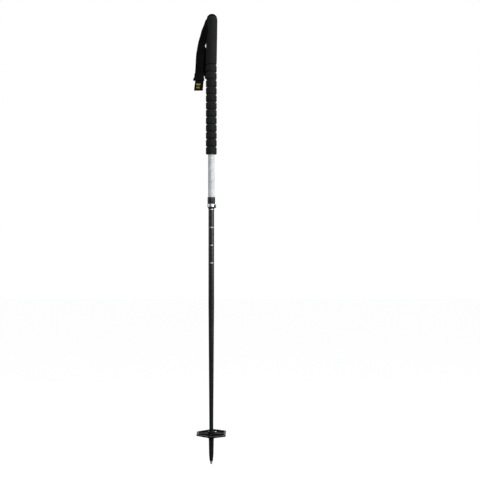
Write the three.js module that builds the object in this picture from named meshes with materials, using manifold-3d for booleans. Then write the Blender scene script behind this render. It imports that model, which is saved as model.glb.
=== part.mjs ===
// A two-section ski touring pole, in millimetres, +Z up, forward is +X.
//
// Heights are counted up from the tip's end. The whole pole is then lowered by HAND_HEIGHT, so the
// origin is on the pole's axis where the hand holds the grip.

import * as THREE from 'three';
import { mergeVertices } from 'three/addons/utils/BufferGeometryUtils.js';
import Module from 'manifold-3d';

const wasm = await Module();
wasm.setup();

// ---------------------------------------------------------------- driving dimensions

const GAP = 0.3;                 // left between pieces that touch
const ROUND_SIDES = 48;          // facets on the tubes and the lock
const SOFT_SIDES = 36;           // facets on the foam

const POLE_LENGTH = 1263;        // tip to the top of the grip
const HAND_HEIGHT = 1195;        // middle of the smooth grip

const UPPER_TUBE = { radius: 9, wall: 0.85, bottom: 732, top: 1222 };
const LOWER_TUBE = { radius: 8, wall: 0.9, bottom: 60, top: 976, taperTop: 450, tipRadius: 5.3 };

const FOAM = { bottom: 870, split: 1126, top: 1257, radius: 15, headRadius: 15.2 };
const FOAM_BORE = UPPER_TUBE.radius + GAP;
const NOTCH = { count: 12, highest: 1120.6, pitch: 20.85, depth: 2.7, halfHeight: 3 };
const GRIP_LEAN = 2;             // how far the top of the grip stands forward of the tube

const HEAD = { radius: 11.5, bottom: 1182, top: 1256.6 };
const SLOT = { bottom: 1240.8, top: 1251.2, halfWidth: 8.4, margin: 0.5 };
const STRAP_PIN = { x: -2, z: 1246, radius: 1.6, length: 20, strapRoom: 4.7, clearance: 0.15 };
const CAP_PLUG = { hole: 4, depth: 5 };

const COLLAR = { radius: 10.65, bottom: 731.4, top: 750 };
const BAND = { radius: 11, bore: 9.45, bottom: 720.8, top: 731 };
const BUSHING = { radius: 9.2, bore: 8.2, bottom: 717.4, top: 731.6 };
const EAR = { front: 12.7, side: 7, slit: 1.4 };
const SCREW = {
  x: 10.6, radius: 1.2, headRadius: 2.3, headHeight: 1.9, socket: 1.15, socketDepth: 1.2, reach: 13.8,
};
const CAM_PAD = { back: 8.6, thickness: 0.7, halfHeight: 5.2 };
const BARREL = { radius: 1.9, halfHeight: 6 };
// The lever's angles are in degrees from +X.
const LEVER = {
  pivotY: 11.5, lobe: 2.9, cam: 0.3, bore: 2.15, fork: 3.5, forkHalf: 2.1,
  inner: 11.35, innerStart: 68, outer: 13.4, outerStart: 76, end: 138,
  lobeStart: 215, lobeEnd: 460, lip: 0.7,
};
const LOCK_MIDDLE = (BAND.bottom + BAND.top) / 2;

// Corners go round from +X, +Y; the window is one opening beside the hub, low and high corner.
const BASKET = { half: 41, rimWidth: 5.5, bottom: 83.5, top: 87, floor: 1.2, corner: 4 };
const BASKET_CORNERS = [[41, 27], [1.5, 46.5], [-41, 18.5], [-41, -18.5], [1.5, -46.5], [41, -27]];
const BASKET_WINDOW = { low: [9.8, 21.5], high: [13.4, 32.5] };
const HUB = { radius: 9.5, bore: 6.8, bottom: 76, top: 91.5, flare: 4, spoke: 4.5 };
const FERRULE = { neck: 6.5, flange: 7.9 };
const TIP = { radius: 2, holder: 4, stem: 3, collarTop: 8.4, stemTop: 30 };

// ---------------------------------------------------------------- finishes

const finish = (color, roughness, metalness = 0) =>
  new THREE.MeshStandardMaterial({ color, roughness, metalness });
const FOAM_BLACK = finish('#1f2020', 0.9);
const PLASTIC_BLACK = finish('#0e0e0f', 0.5);
const WEBBING_BLACK = finish('#0a0a0a', 0.95);
const LABEL_YELLOW = finish('#8f8030', 0.85);
const TUBE_WHITE = finish('#c9cccb', 0.45);
const TUBE_BLACK = finish('#1b1c1c', 0.4);
const POLISHED = finish('#d6d8d8', 0.22, 1);
const SCREW_BLACK = finish('#111112', 0.4, 0.8);
const STEEL = finish('#a5a7a7', 0.35, 1);
const CARBIDE = finish('#4c4d4f', 0.4, 1);

// ---------------------------------------------------------------- solids

const signedVolume = (index, position) => {
  const [a, b, c] = [0, 1, 2].map(() => new THREE.Vector3());
  let volume = 0;
  for (let i = 0; i < index.length; i += 3) {
    a.fromBufferAttribute(position, index[i]);
    b.fromBufferAttribute(position, index[i + 1]);
    c.fromBufferAttribute(position, index[i + 2]);
    volume += a.dot(b.cross(c));
  }
  return volume;
};

// Merges a geometry's shared corners, drops the triangles that close up to nothing, and turns the
// faces outward.
function solid(geometry) {
  const bare = geometry.clone();
  bare.deleteAttribute('normal');
  bare.deleteAttribute('uv');
  const merged = mergeVertices(bare, 1e-4);
  const index = [];
  for (let i = 0; i < merged.index.count; i += 3) {
    const [a, b, c] = [0, 1, 2].map((k) => merged.index.getX(i + k));
    if (a !== b && b !== c && c !== a) index.push(a, b, c);
  }
  if (signedVolume(index, merged.attributes.position) < 0) index.reverse();
  merged.setIndex(index);
  return merged;
}

function toManifold(geometry) {
  const vertProperties = new Float32Array(geometry.attributes.position.array);
  const triVerts = new Uint32Array(geometry.index.array);
  return new wasm.Manifold(new wasm.Mesh({ numProp: 3, vertProperties, triVerts }));
}

function fromManifold(body) {
  const { vertProperties, triVerts } = body.getMesh();
  const geometry = new THREE.BufferGeometry();
  geometry.setAttribute('position', new THREE.Float32BufferAttribute(vertProperties, 3));
  geometry.setIndex([...triVerts]);
  return geometry;
}

const combine = (how) => (first, ...others) =>
  fromManifold(others.reduce((body, other) => body[how](toManifold(other)), toManifold(first)));
const join = combine('add');
const cut = combine('subtract');

// A turned piece: [radius, height] corners, from axis to axis or closing on themselves.
function turned(profile, sides = ROUND_SIDES) {
  const corners = profile.map(([radius, height]) => new THREE.Vector2(radius, height));
  if (corners[0].x > 0) corners.push(corners[0].clone());
  return solid(new THREE.LatheGeometry(corners, sides).rotateX(Math.PI / 2));
}

const rod = (radius, bottom, top, sides) =>
  turned([[0, bottom], [radius, bottom], [radius, top], [0, top]], sides);
const sleeve = (bore, radius, bottom, top, sides) =>
  turned([[bore, bottom], [radius, bottom], [radius, top], [bore, top]], sides);

function block(low, high) {
  const size = high.map((value, i) => value - low[i]);
  const middle = high.map((value, i) => (value + low[i]) / 2);
  return solid(new THREE.BoxGeometry(...size).translate(...middle));
}

const prism = (shape, bottom, top, curveSegments = 12) =>
  solid(new THREE.ExtrudeGeometry(shape, { depth: top - bottom, bevelEnabled: false, curveSegments })
    .translate(0, 0, bottom));

// A rod along Y through (x, z).
const crossRod = (radius, x, z, front, back, sides = 24) =>
  solid(rod(radius, front, back, sides).rotateX(-Math.PI / 2).translate(x, 0, z));

// Leans a piece of the grip forward, more the higher it is.
function lean(geometry) {
  const slope = GRIP_LEAN / (POLE_LENGTH - FOAM.split);
  const shear = new THREE.Matrix4().makeShear(0, 0, 0, 0, slope, 0);
  return geometry.applyMatrix4(shear).translate(-slope * FOAM.split, 0, 0);
}

// A flat band through stations {at, half, turn}: half is half its width, turn is the angle in
// degrees that its width has turned from the Y axis.
function ribbon(stations, thickness, steps) {
  const route = new THREE.CatmullRomCurve3(stations.map((station) => station.at));
  const form = new THREE.CatmullRomCurve3(
    stations.map(({ half, turn }) => new THREE.Vector3(half, turn, 0)));
  const corners = [];
  for (let i = 0; i <= steps; i += 1) {
    const centre = route.getPoint(i / steps);
    const { x: half, y: turn } = form.getPoint(i / steps);
    const angle = THREE.MathUtils.degToRad(turn);
    const across = new THREE.Vector3(-Math.sin(angle), Math.cos(angle), 0);
    const through = route.getTangent(i / steps).cross(across).normalize();
    for (const [side, face] of [[1, 1], [-1, 1], [-1, -1], [1, -1]]) {
      corners.push(centre.clone()
        .addScaledVector(across, side * half)
        .addScaledVector(through, face * thickness / 2));
    }
  }
  const index = [0, 1, 2, 0, 2, 3];
  for (let i = 0; i < steps; i += 1) {
    for (let k = 0; k < 4; k += 1) {
      const a = i * 4 + k;
      const b = i * 4 + (k + 1) % 4;
      index.push(a, a + 4, b, b, a + 4, b + 4);
    }
  }
  const last = steps * 4;
  index.push(last, last + 2, last + 1, last, last + 3, last + 2);
  const geometry = new THREE.BufferGeometry().setFromPoints(corners);
  geometry.setIndex(index);
  return solid(geometry);
}

const station = (x, y, z, half, turn) => ({ at: new THREE.Vector3(x, y, z), half, turn });

function piece(name, geometry, material) {
  const mesh = new THREE.Mesh(geometry, material);
  mesh.name = name;
  return mesh;
}

// ---------------------------------------------------------------- grip

function gripFoamLower() {
  const { bottom, split, radius } = FOAM;
  const profile = [[FOAM_BORE, bottom], [radius - 3.5, bottom], [radius - 1, bottom + 1]];
  profile.push([radius, bottom + 3.5]);
  for (let k = NOTCH.count - 1; k >= 0; k -= 1) {
    const middle = NOTCH.highest - k * NOTCH.pitch;
    profile.push([radius, middle - NOTCH.halfHeight]);
    profile.push([radius - NOTCH.depth, middle - NOTCH.halfHeight / 4]);
    profile.push([radius - NOTCH.depth, middle + NOTCH.halfHeight / 4]);
    profile.push([radius, middle + NOTCH.halfHeight]);
  }
  profile.push([radius, split - GAP / 2], [FOAM_BORE, split - GAP / 2]);
  return turned(profile, SOFT_SIDES);
}

function gripFoamUpper() {
  const { split, top, headRadius } = FOAM;
  const cavity = HEAD.radius + GAP;
  const shell = lean(turned([
    [cavity - 4, split + GAP / 2], [headRadius - 0.2, split + GAP / 2], [headRadius, 1200],
    [headRadius, 1246], [headRadius - 0.5, 1252], [headRadius - 1.6, top], [cavity, top],
    [cavity, HEAD.bottom - GAP], [cavity - 4, HEAD.bottom - GAP],
  ], SOFT_SIDES));
  const bore = rod(FOAM_BORE, split - 1, HEAD.bottom);
  const side = SLOT.halfWidth + SLOT.margin;
  const window = block([-20, -side, SLOT.bottom - 1], [-5, side, SLOT.top + 1]);
  return cut(shell, bore, window);
}

function gripHead() {
  const outside = lean(rod(HEAD.radius, HEAD.bottom, HEAD.top));
  const socket = rod(FOAM_BORE, HEAD.bottom - 1, UPPER_TUBE.top + GAP);
  const { x, z, radius, strapRoom, clearance } = STRAP_PIN;
  const slot = block([-15, -SLOT.halfWidth, SLOT.bottom], [x + strapRoom, SLOT.halfWidth, SLOT.top]);
  const pinHole = crossRod(radius + clearance, x, z, -15, 15);
  const capHole = lean(rod(CAP_PLUG.hole, HEAD.top - CAP_PLUG.depth, HEAD.top + 1, 24));
  return cut(outside, socket, slot, pinHole, capHole);
}

function gripTopCap() {
  const rim = FOAM.headRadius - 1.7;
  const bottom = FOAM.top + GAP;
  const plug = CAP_PLUG.hole - GAP;
  const plugEnd = HEAD.top - CAP_PLUG.depth + 1;
  return lean(turned([
    [0, plugEnd], [plug, plugEnd], [plug, bottom], [rim, bottom], [rim - 0.6, bottom + 1.6],
    [rim - 2, bottom + 3.4], [rim - 4.4, POLE_LENGTH - 0.5], [rim - 6.4, POLE_LENGTH], [0, POLE_LENGTH],
  ], SOFT_SIDES));
}

const strapPin = () => crossRod(
  STRAP_PIN.radius, STRAP_PIN.x, STRAP_PIN.z, -STRAP_PIN.length / 2, STRAP_PIN.length / 2);

// ---------------------------------------------------------------- strap

const WEBBING = { half: 8, thickness: 1.6 };
const PADDING = 2.2;

// The webbing inside the head: in at the top of the slot, round the pin, and out below.
function strapAnchor() {
  const { x, z } = STRAP_PIN;
  const bend = 2.7;
  const mouth = -13.2;
  const stations = [station(mouth, 0, z + 1.2, WEBBING.half, 0), station(-9, 0, z + 2.3, WEBBING.half, 0)];
  for (let degrees = 90; degrees >= -90; degrees -= 30) {
    const angle = THREE.MathUtils.degToRad(degrees);
    stations.push(station(x + bend * Math.cos(angle), 0, z + bend * Math.sin(angle), WEBBING.half, 0));
  }
  stations.push(station(-9, 0, z - 2.3, WEBBING.half, 0), station(mouth, 0, z - 1.2, WEBBING.half, 0));
  return ribbon(stations, WEBBING.thickness, 40);
}

// The wide padded layer: edge-on where it leaves the head, flat to the side at the wrist.
function strapWristBand() {
  return ribbon([
    station(-17.7, 0, 1245, 8, 0), station(-18.6, -0.6, 1239, 8.5, 6),
    station(-19, -1.6, 1233.6, 9.2, 14), station(-19.8, -3.2, 1225, 10.2, 27),
    station(-20.1, -4.3, 1219.5, 10.9, 36), station(-21.8, -5.2, 1205.5, 10.9, 52),
    station(-24.8, -6, 1191, 10.6, 68), station(-27.5, -6.8, 1177, 10.4, 80),
    station(-29.7, -7.4, 1163, 10.4, 86), station(-31.8, -7.6, 1149, 10.4, 90),
    station(-32.6, -7.3, 1135, 10.6, 90), station(-33.6, -5.6, 1113, 10.8, 90),
    station(-34.9, -3.2, 1096.8, 11, 90),
  ], PADDING, 48);
}

// The narrow layer of the loop, close along the back of the grip.
function strapWebbing() {
  return ribbon([
    station(-15.1, 1.5, 1243, 8, 0), station(-15.1, 5, 1232, 8, -10),
    station(-15.6, 6.4, 1219, 8, -12), station(-16.3, 7.4, 1205, 8, -18),
    station(-17, 8, 1191, 8, -22), station(-18, 8, 1184, 8, -10),
    station(-18.8, 8, 1178, 8, -2), station(-18.4, 8.6, 1171, 8, -26),
    station(-18.1, 9, 1160, 8, -36), station(-19, 9.5, 1135, 8, -50),
    station(-19.6, 9.2, 1110, 8, -54), station(-18.8, 10.4, 1099, 8, -38),
    station(-16.4, 9.6, 1091, 7.4, -20), station(-16.2, 7.4, 1084, 7, -14),
  ], WEBBING.thickness, 52);
}

function slantedPlate(corners, front, back) {
  const shape = new THREE.Shape(corners.map(([x, z]) => new THREE.Vector2(x, z)));
  return solid(prism(shape, -back, -front).rotateX(Math.PI / 2));
}

const strapKeeper = () =>
  slantedPlate([[-49.5, 1077], [-20.8, 1077], [-20.3, 1096.2], [-47.4, 1096.2]], -5.8, 2.4);
const strapTab = () => slantedPlate([
  [-48, 1050], [-25, 1050], [-23.8, 1051.2], [-22.2, 1076.6], [-45.4, 1076.6], [-48.8, 1051.4],
], -3.4, -1);
const strapLabel = () =>
  slantedPlate([[-43, 1055], [-31, 1055], [-30.2, 1069], [-42.2, 1069]], -4.2, -3.7);

// ---------------------------------------------------------------- tubes

function upperTube() {
  const { radius, wall, bottom, top } = UPPER_TUBE;
  return sleeve(radius - wall, radius, bottom, top);
}

function lowerTube() {
  const { radius, wall, bottom, top, taperTop, tipRadius } = LOWER_TUBE;
  return turned([
    [tipRadius - wall, bottom], [tipRadius, bottom], [radius, taperTop], [radius, top],
    [radius - wall, top], [radius - wall, taperTop],
  ]);
}

function guidePlug() {
  const stem = LOWER_TUBE.radius - LOWER_TUBE.wall - GAP;
  const guide = UPPER_TUBE.radius - UPPER_TUBE.wall - 0.07;
  const { top } = LOWER_TUBE;
  return turned([
    [2, top - 16], [stem, top - 16], [stem, top + GAP], [guide, top + GAP], [guide, top + 8],
    [guide - 1, top + 9], [2, top + 9],
  ]);
}

// ---------------------------------------------------------------- lock

const lockCollar = () => {
  const { radius, bottom, top } = COLLAR;
  return turned([
    [FOAM_BORE, bottom], [radius, bottom], [radius, top - 0.8], [radius - 0.8, top], [FOAM_BORE, top],
  ]);
};

function lockBushing() {
  const body = sleeve(BUSHING.bore, BUSHING.radius, BUSHING.bottom, BUSHING.top);
  return cut(body, block([4, -EAR.slit, BUSHING.bottom - 1], [12, EAR.slit, BUSHING.top + 1]));
}

function clampBand() {
  const { bottom, top } = BAND;
  const ring = rod(BAND.radius, bottom, top);
  const ears = block([5, -EAR.side, bottom + 1.2], [EAR.front, EAR.side, top - 1.2]);
  const bore = rod(BAND.bore, bottom - 1, top + 1);
  const slit = block([5, -EAR.slit, bottom - 1], [20, EAR.slit, top + 1]);
  const screwHole = crossRod(SCREW.radius + 0.3, SCREW.x, LOCK_MIDDLE, -20, 20);
  return cut(join(ring, ears), bore, slit, screwHole);
}

function tensionScrew() {
  const under = -EAR.side - GAP;
  const outer = under - SCREW.headHeight;
  const shank = crossRod(SCREW.radius, SCREW.x, LOCK_MIDDLE, under - 0.5, SCREW.reach);
  const head = crossRod(SCREW.headRadius, SCREW.x, LOCK_MIDDLE, outer, under);
  const socket = crossRod(SCREW.socket, SCREW.x, LOCK_MIDDLE, outer - 1, outer + SCREW.socketDepth, 6);
  return cut(join(shank, head), socket);
}

function camPad() {
  const { back, thickness, halfHeight } = CAM_PAD;
  const face = EAR.side + GAP;
  const pad = block(
    [back, face, LOCK_MIDDLE - halfHeight], [EAR.front, face + thickness, LOCK_MIDDLE + halfHeight]);
  return cut(pad, crossRod(SCREW.radius + 0.3, SCREW.x, LOCK_MIDDLE, 0, 20));
}

function leverBarrel() {
  const { radius, halfHeight } = BARREL;
  const body = rod(radius, LOCK_MIDDLE - halfHeight, LOCK_MIDDLE + halfHeight, 24)
    .translate(SCREW.x, LEVER.pivotY, 0);
  return cut(body, crossRod(SCREW.radius + 0.2, SCREW.x, LOCK_MIDDLE, 5, 20));
}

// Seen from above: an arm round the back of the band, and a cam lobe round the barrel.
function leverOutline() {
  const { pivotY, lobe, cam, inner, outer, lip } = LEVER;
  const [innerStart, outerStart, end, lobeStart, lobeEnd, bend] = [
    LEVER.innerStart, LEVER.outerStart, LEVER.end, LEVER.lobeStart, LEVER.lobeEnd, LEVER.end - 6,
  ].map(THREE.MathUtils.degToRad);
  const shape = new THREE.Shape();
  shape.absarc(0, 0, inner, end, innerStart, true);
  shape.absarc(SCREW.x, pivotY - cam, lobe, lobeStart, lobeEnd, false);
  shape.absarc(0, 0, outer, outerStart, bend, false);
  shape.lineTo((outer + lip) * Math.cos(end), (outer + lip) * Math.sin(end));
  return shape;
}

function lockLever() {
  const arm = prism(leverOutline(), BAND.bottom + 0.2, BAND.top - 0.4, 20);
  const at = (geometry) => geometry.translate(SCREW.x, LEVER.pivotY, 0);
  const bore = at(rod(LEVER.bore, BAND.bottom - 1, BAND.top + 1, 24));
  const fork = at(rod(LEVER.fork, LOCK_MIDDLE - LEVER.forkHalf, LOCK_MIDDLE + LEVER.forkHalf, 24));
  return cut(arm, bore, fork);
}

// ---------------------------------------------------------------- basket and tip

// The basket's six-sided outline, its flat sides at +X and -X, drawn in by inset, its corners rounded.
function basketOutline(inset, corner) {
  const shape = new THREE.Shape();
  const share = 1 - inset / BASKET.half;
  const corners = BASKET_CORNERS.map(([x, y]) => new THREE.Vector2(x, y).multiplyScalar(share));
  const towards = (from, to) => from.clone().add(to.clone().sub(from).setLength(corner));
  corners.forEach((here, k) => {
    const start = towards(here, corners.at(k - 1));
    const end = towards(here, corners[(k + 1) % corners.length]);
    if (k === 0) shape.moveTo(start.x, start.y);
    else shape.lineTo(start.x, start.y);
    shape.quadraticCurveTo(here.x, here.y, end.x, end.y);
  });
  return shape;
}

function basket() {
  const { half, rimWidth, bottom, top, floor, corner } = BASKET;
  const hubFoot = HUB.radius + HUB.flare;
  const plate = prism(basketOutline(0, corner), bottom, top, 5);
  const hub = turned([
    [0, HUB.bottom], [HUB.bore + 0.9, HUB.bottom], [hubFoot, bottom + 0.2], [hubFoot, bottom + 1],
    [HUB.radius, top], [HUB.radius, HUB.top - 0.6], [HUB.radius - 0.6, HUB.top], [0, HUB.top],
  ]);
  const tray = prism(basketOutline(rimWidth, corner - 1), bottom + floor, top + 1, 5);
  const crossbars = [0, 1].map((k) =>
    solid(block([-2 * half, -HUB.spoke / 2, bottom], [2 * half, HUB.spoke / 2, top + 2])
      .rotateZ(k * Math.PI / 2)));
  const pockets = cut(tray, rod(HUB.radius + 1.5, bottom, top + 2), ...crossbars);
  const window = block([...BASKET_WINDOW.low, bottom - 1], [...BASKET_WINDOW.high, top + 1]);
  return cut(join(plate, hub), pockets, window, rod(HUB.bore, HUB.bottom - 1, HUB.top + 1));
}

function tipFerrule() {
  const { neck, flange } = FERRULE;
  const tubeBore = LOWER_TUBE.tipRadius + 0.6;
  const holderBore = TIP.stem + 0.2;
  const shoulder = HUB.bottom - GAP;
  return turned([
    [holderBore, TIP.collarTop + GAP], [TIP.holder + 0.1, TIP.collarTop + GAP], [5.1, 14], [5.75, 20],
    [6.15, 27], [6.45, 45], [6.8, 66], [7.2, 72], [flange, 74], [flange, shoulder], [neck, shoulder],
    [neck, HUB.top + 0.6], [tubeBore, HUB.top + 0.6], [tubeBore, LOWER_TUBE.bottom - GAP],
    [holderBore, LOWER_TUBE.bottom - 3],
  ]);
}

function tipHolder() {
  const { radius, holder, stem, collarTop, stemTop } = TIP;
  const bore = radius + 0.15;
  return turned([
    [bore, 2.2], [2.5, 2.2], [2.9, 3.8], [3.5, 5.8], [holder, 6.8], [holder, collarTop],
    [stem, collarTop], [stem, stemTop], [bore, stemTop],
  ], 32);
}

const tipInsert = () =>
  turned([[0, 0], [TIP.radius - 0.5, 0], [TIP.radius, 1], [TIP.radius, 14], [0, 14]], 24);

// ---------------------------------------------------------------- the pole

const grip = new THREE.Group();
grip.add(
  piece('grip_foam_lower', gripFoamLower(), FOAM_BLACK),
  piece('grip_foam_upper', gripFoamUpper(), FOAM_BLACK),
  piece('grip_head', gripHead(), PLASTIC_BLACK),
  piece('grip_top_cap', gripTopCap(), PLASTIC_BLACK),
  piece('strap_pin', strapPin(), STEEL),
);

const strap = new THREE.Group();
strap.add(
  piece('strap_anchor', strapAnchor(), WEBBING_BLACK),
  piece('strap_wrist_band', strapWristBand(), WEBBING_BLACK),
  piece('strap_webbing', strapWebbing(), WEBBING_BLACK),
  piece('strap_keeper', strapKeeper(), WEBBING_BLACK),
  piece('strap_tab', strapTab(), WEBBING_BLACK),
  piece('strap_label', strapLabel(), LABEL_YELLOW),
);

const lock = new THREE.Group();
lock.add(
  piece('lock_collar', lockCollar(), PLASTIC_BLACK),
  piece('lock_bushing', lockBushing(), PLASTIC_BLACK),
  piece('clamp_band', clampBand(), POLISHED),
  piece('tension_screw', tensionScrew(), SCREW_BLACK),
  piece('cam_pad', camPad(), PLASTIC_BLACK),
  piece('lever_barrel', leverBarrel(), STEEL),
  piece('lock_lever', lockLever(), POLISHED),
);

const shaft = new THREE.Group();
shaft.add(
  piece('lower_tube', lowerTube(), TUBE_BLACK),
  piece('guide_plug', guidePlug(), PLASTIC_BLACK),
  piece('basket', basket(), PLASTIC_BLACK),
  piece('tip_ferrule', tipFerrule(), PLASTIC_BLACK),
  piece('tip_holder', tipHolder(), STEEL),
  piece('tip_insert', tipInsert(), CARBIDE),
);

const pole = new THREE.Group();
pole.add(piece('upper_tube', upperTube(), TUBE_WHITE), grip, strap, lock, shaft);
pole.position.z = -HAND_HEIGHT;

export default pole;
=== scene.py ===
"""The looks of a two-section ski touring pole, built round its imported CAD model.

Metres, +Z up, +X forward. The pole is 1.26 m tall; sizes below are written in millimetres and turned
into metres by MM. Heights written as numbers are counted up from the tip's end, as in the CAD source.
"""

import math

import bmesh
import bpy
from mathutils import Matrix, Vector


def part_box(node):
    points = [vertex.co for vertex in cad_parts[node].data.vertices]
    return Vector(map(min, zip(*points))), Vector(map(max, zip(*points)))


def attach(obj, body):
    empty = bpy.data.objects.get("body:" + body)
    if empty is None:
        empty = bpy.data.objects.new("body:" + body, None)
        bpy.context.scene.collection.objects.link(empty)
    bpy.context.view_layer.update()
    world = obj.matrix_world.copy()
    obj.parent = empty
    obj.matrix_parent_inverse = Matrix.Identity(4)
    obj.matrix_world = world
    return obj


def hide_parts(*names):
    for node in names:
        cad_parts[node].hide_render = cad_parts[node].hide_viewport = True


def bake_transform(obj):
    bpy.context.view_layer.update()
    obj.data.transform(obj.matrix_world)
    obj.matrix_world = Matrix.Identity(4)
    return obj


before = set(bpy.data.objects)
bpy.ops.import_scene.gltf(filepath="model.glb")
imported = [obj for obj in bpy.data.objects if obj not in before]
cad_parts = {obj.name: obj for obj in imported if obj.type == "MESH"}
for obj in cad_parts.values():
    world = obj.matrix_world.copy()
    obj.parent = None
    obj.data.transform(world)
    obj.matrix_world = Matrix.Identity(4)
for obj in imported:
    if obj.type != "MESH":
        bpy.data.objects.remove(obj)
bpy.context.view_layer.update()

MM = 0.001
TAU = math.tau
TIP_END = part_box("tip_insert")[0].z
GRIP_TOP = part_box("grip_top_cap")[1].z
FOAM_SPLIT = (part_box("grip_foam_lower")[1].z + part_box("grip_foam_upper")[0].z) / 2
GRIP_LEAN = 2 * MM               # how far the top of the grip stands forward
FOAM_SWELL = 0.3 * MM            # how much fuller the foam is than its CAD solid


def up(height):
    """The Z, in metres, of a height in millimetres above the tip's end."""
    return TIP_END + height * MM


def extent(node):
    """The bottom, the top and the radius of a round CAD node. A lean doesn't change its width across Y."""
    low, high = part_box(node)
    return low.z, high.z, (high.y - low.y) / 2


def put(name, data):
    """A new object in the scene."""
    made = bpy.data.objects.new(name, data)
    bpy.context.scene.collection.objects.link(made)
    return made


# ---------------- material helpers

def set_range(node, low, high, to_low, to_high):
    """Fills in a Map Range node."""
    for socket, number in zip(("From Min", "From Max", "To Min", "To Max"), (low, high, to_low, to_high)):
        node.inputs[socket].default_value = number


class Finish:
    """A Principled material with short calls for the nodes that drive it."""

    def __init__(self, name, **sockets):
        self.material = bpy.data.materials.new(name)
        self.material.use_nodes = True
        self.tree = self.material.node_tree
        self.shader = self.tree.nodes["Principled BSDF"]
        for key, value in sockets.items():
            value = (*value, 1) if isinstance(value, tuple) else value
            self.shader.inputs[key.replace("_", " ")].default_value = value

    def node(self, kind, **values):
        """A new node, with its properties set."""
        made = self.tree.nodes.new("ShaderNode" + kind)
        for key, value in values.items():
            setattr(made, key, value)
        return made

    def feed(self, value, socket):
        """Links a socket to another one, or sets it to a plain value."""
        if isinstance(value, bpy.types.NodeSocket):
            self.tree.links.new(value, socket)
        else:
            socket.default_value = value

    def place(self, source="Object"):
        return self.node("TexCoord").outputs[source]

    def axes(self, source="Object"):
        split = self.node("SeparateXYZ")
        self.feed(self.place(source), split.inputs[0])
        return split.outputs[0], split.outputs[1], split.outputs[2]

    def math(self, operation, first, second=0.0):
        made = self.node("Math", operation=operation)
        self.feed(first, made.inputs[0])
        self.feed(second, made.inputs[1])
        return made.outputs[0]

    def times(self, first, second):
        return self.math("MULTIPLY", first, second)

    def most(self, first, *others):
        for other in others:
            first = self.math("MAXIMUM", first, other)
        return first

    def noise(self, scale, detail=3.0, stretch=None, source="Object"):
        made = self.node("TexNoise")
        made.inputs["Scale"].default_value = scale
        made.inputs["Detail"].default_value = detail
        where = self.place(source)
        if stretch:
            mapping = self.node("Mapping")
            mapping.inputs["Scale"].default_value = stretch
            self.feed(where, mapping.inputs[0])
            where = mapping.outputs[0]
        self.feed(where, made.inputs["Vector"])
        return made.outputs["Fac"]

    def cloud(self, scale, detail):
        """Soft patches, from 0 to 1."""
        return self.span(self.noise(scale, detail), 0.3, 0.7)

    def cells(self, scale):
        made = self.node("TexVoronoi")
        made.inputs["Scale"].default_value = scale
        self.feed(self.place(), made.inputs["Vector"])
        return made.outputs["Distance"]

    def span(self, value, low, high, to_low=0.0, to_high=1.0, smooth=False):
        """value's place between low and high, carried over to the other two numbers."""
        made = self.node("MapRange")
        made.interpolation_type = "SMOOTHSTEP" if smooth else "LINEAR"
        set_range(made, low, high, to_low, to_high)
        self.feed(value, made.inputs["Value"])
        return made.outputs["Result"]

    def mix(self, share, first, second):
        made = self.node("Mix", data_type="RGBA")
        self.feed(share, made.inputs[0])
        self.feed((*first, 1) if isinstance(first, tuple) else first, made.inputs[6])
        self.feed((*second, 1) if isinstance(second, tuple) else second, made.inputs[7])
        return made.outputs[2]

    def paint(self, value, socket="Base Color"):
        self.feed(value, self.shader.inputs[socket])

    def bump(self, height, distance, strength=1.0):
        """Adds a relief on top of those already there."""
        made = self.node("Bump")
        made.inputs["Strength"].default_value = strength
        made.inputs["Distance"].default_value = distance
        self.feed(height, made.inputs["Height"])
        before = self.shader.inputs["Normal"].links
        if before:
            self.feed(before[0].from_socket, made.inputs["Normal"])
        self.feed(made.outputs[0], self.shader.inputs["Normal"])

    def stripes(self, value, period):
        """0 to 1 and back, once each period."""
        return self.math("MULTIPLY_ADD", self.math("SINE", self.times(value, TAU / period)), 0.5)

    def band(self, value, middle, half, soft):
        """1 within half of middle, falling to 0 over soft."""
        away = self.math("ABSOLUTE", self.math("SUBTRACT", value, middle))
        return self.span(away, half, half + soft, 1, 0, smooth=True)


def grey(level, tint=(1, 1, 1)):
    """A neutral colour, or a slightly tinted one."""
    return tuple(level * part for part in tint)


# ---------------- stage

CAMERA_PLACE = (0.0807, -2.05, up(629.5))
CAMERA_LENS = 54.7               # mm
FLOOR_HEIGHT = up(-260)
FLOOR_REACH = 9
ROOM_BRIGHTNESS = (0.05, 0.2)    # low down and high up
LIGHTS = {                       # place, what it points at, width and height, watts
    "key": ((2.2, -1.2, 0.45), (0, 0, 0.3), (0.9, 2.2), 56),
    "front": ((0.6, -2.9, 0.5), (0, 0, -0.2), (1.6, 1.8), 24),
    "back": ((0, 2.2, -0.5), (0, 0, -1.1), (2.4, 0.8), 6),
    "fill": ((-2.6, -0.5, 0.3), (0, 0, -0.2), (1.6, 2.2), 16),
    "top": ((0.3, 0.6, 2.4), (0, 0, -0.4), (1.6, 1.6), 10)}


def make_camera():
    """Level, half-way up the pole and a little to its right."""
    data = bpy.data.cameras.new("camera")
    data.lens = CAMERA_LENS
    data.clip_end = 40
    camera = put("camera", data)
    camera.location = CAMERA_PLACE
    camera.rotation_euler = (math.pi / 2, 0, 0)
    bpy.context.scene.camera = camera


def make_light(name, place, aim, size, power):
    """A soft rectangle of light that the camera doesn't see."""
    data = bpy.data.lights.new(name, "AREA")
    data.shape = "RECTANGLE"
    data.size, data.size_y = size
    data.energy = power
    light = put(name, data)
    light.location = place
    light.rotation_euler = (Vector(aim) - Vector(place)).to_track_quat("-Z", "Y").to_euler()
    light.visible_camera = False


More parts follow.
